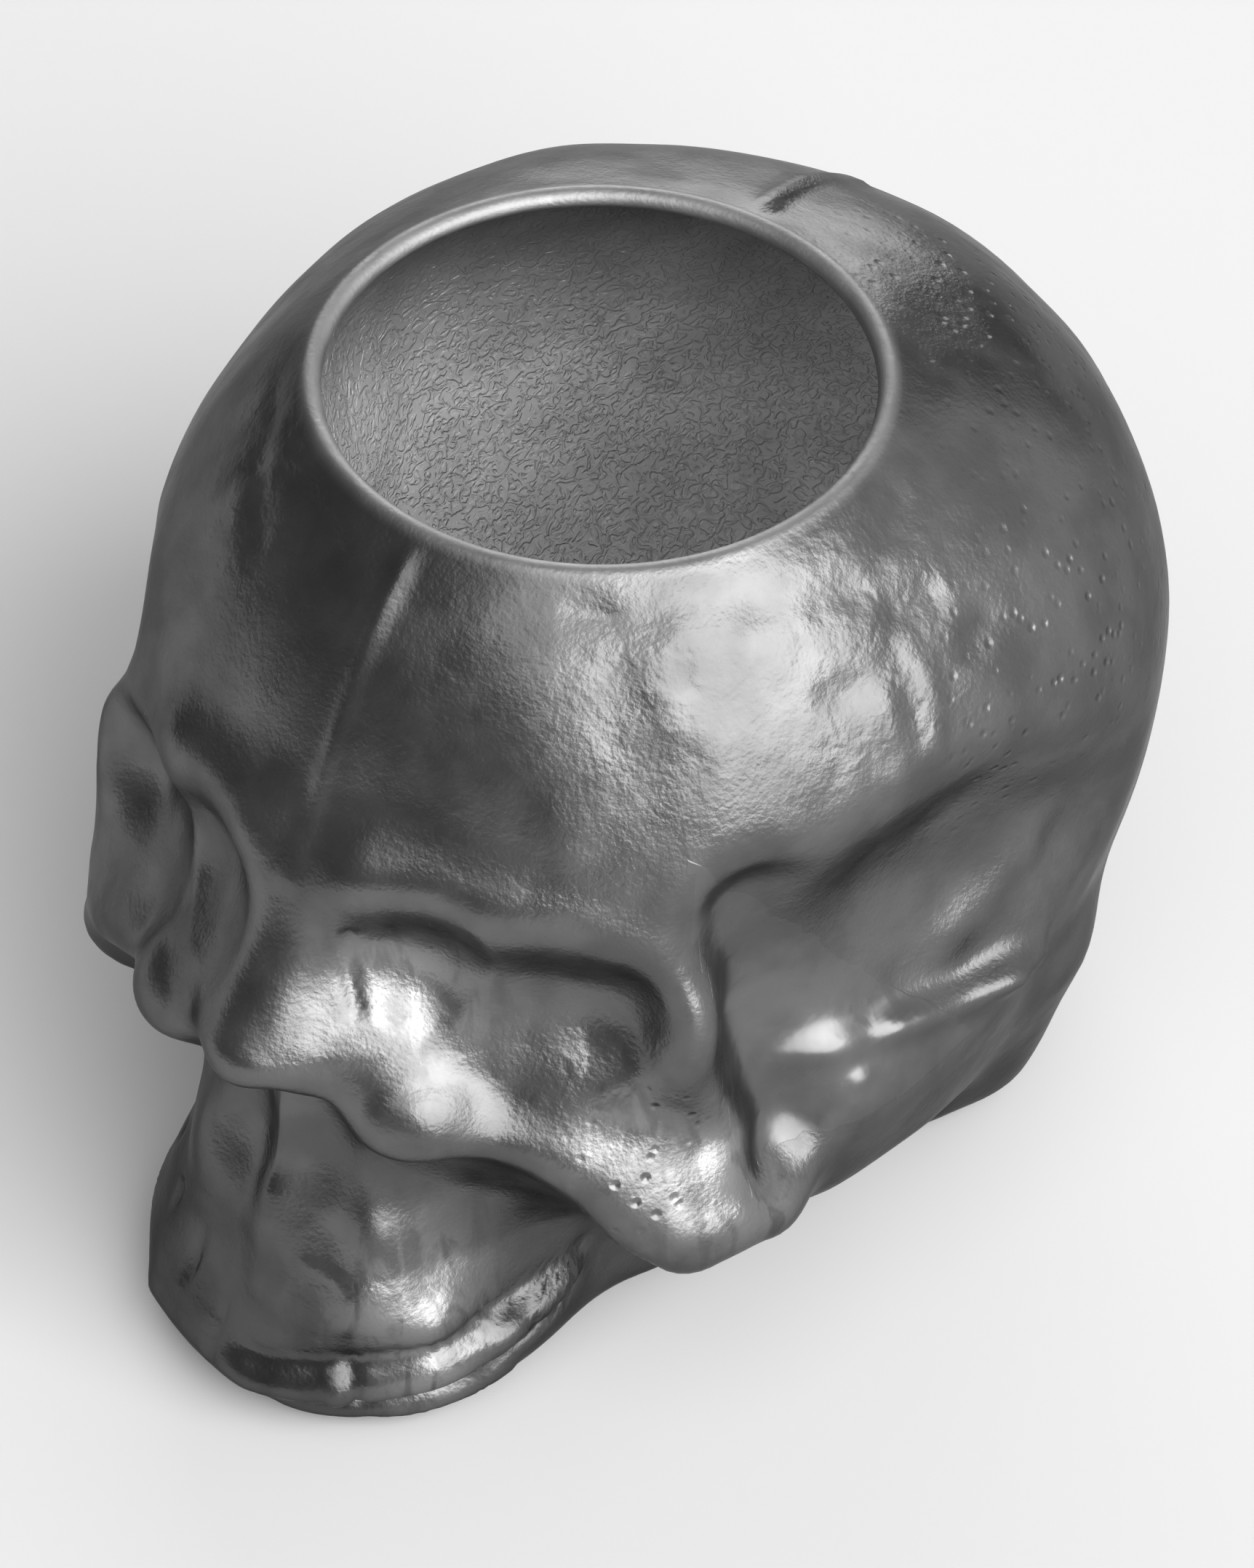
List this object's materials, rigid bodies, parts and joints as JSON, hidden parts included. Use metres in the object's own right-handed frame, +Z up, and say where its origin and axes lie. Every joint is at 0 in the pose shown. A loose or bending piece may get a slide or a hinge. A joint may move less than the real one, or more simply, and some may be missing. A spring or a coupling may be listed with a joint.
{
  "type": "skull candle holder",
  "caption": "Hollow glazed ceramic skull with an open crown, which holds a pillar or votive candle on a flat inner floor.",
  "frame": {"origin": "on the flat standing face, under the middle of the candle opening", "axes": "+Z up, -Y the way the face looks, +X the skull's own left"},
  "size_m": [0.1152, 0.1573, 0.115],
  "materials": {
    "silver_glaze": "satin"
  },
  "bodies": {
    "root": {"skull_shell": "silver_glaze"}
  },
  "joints": []
}
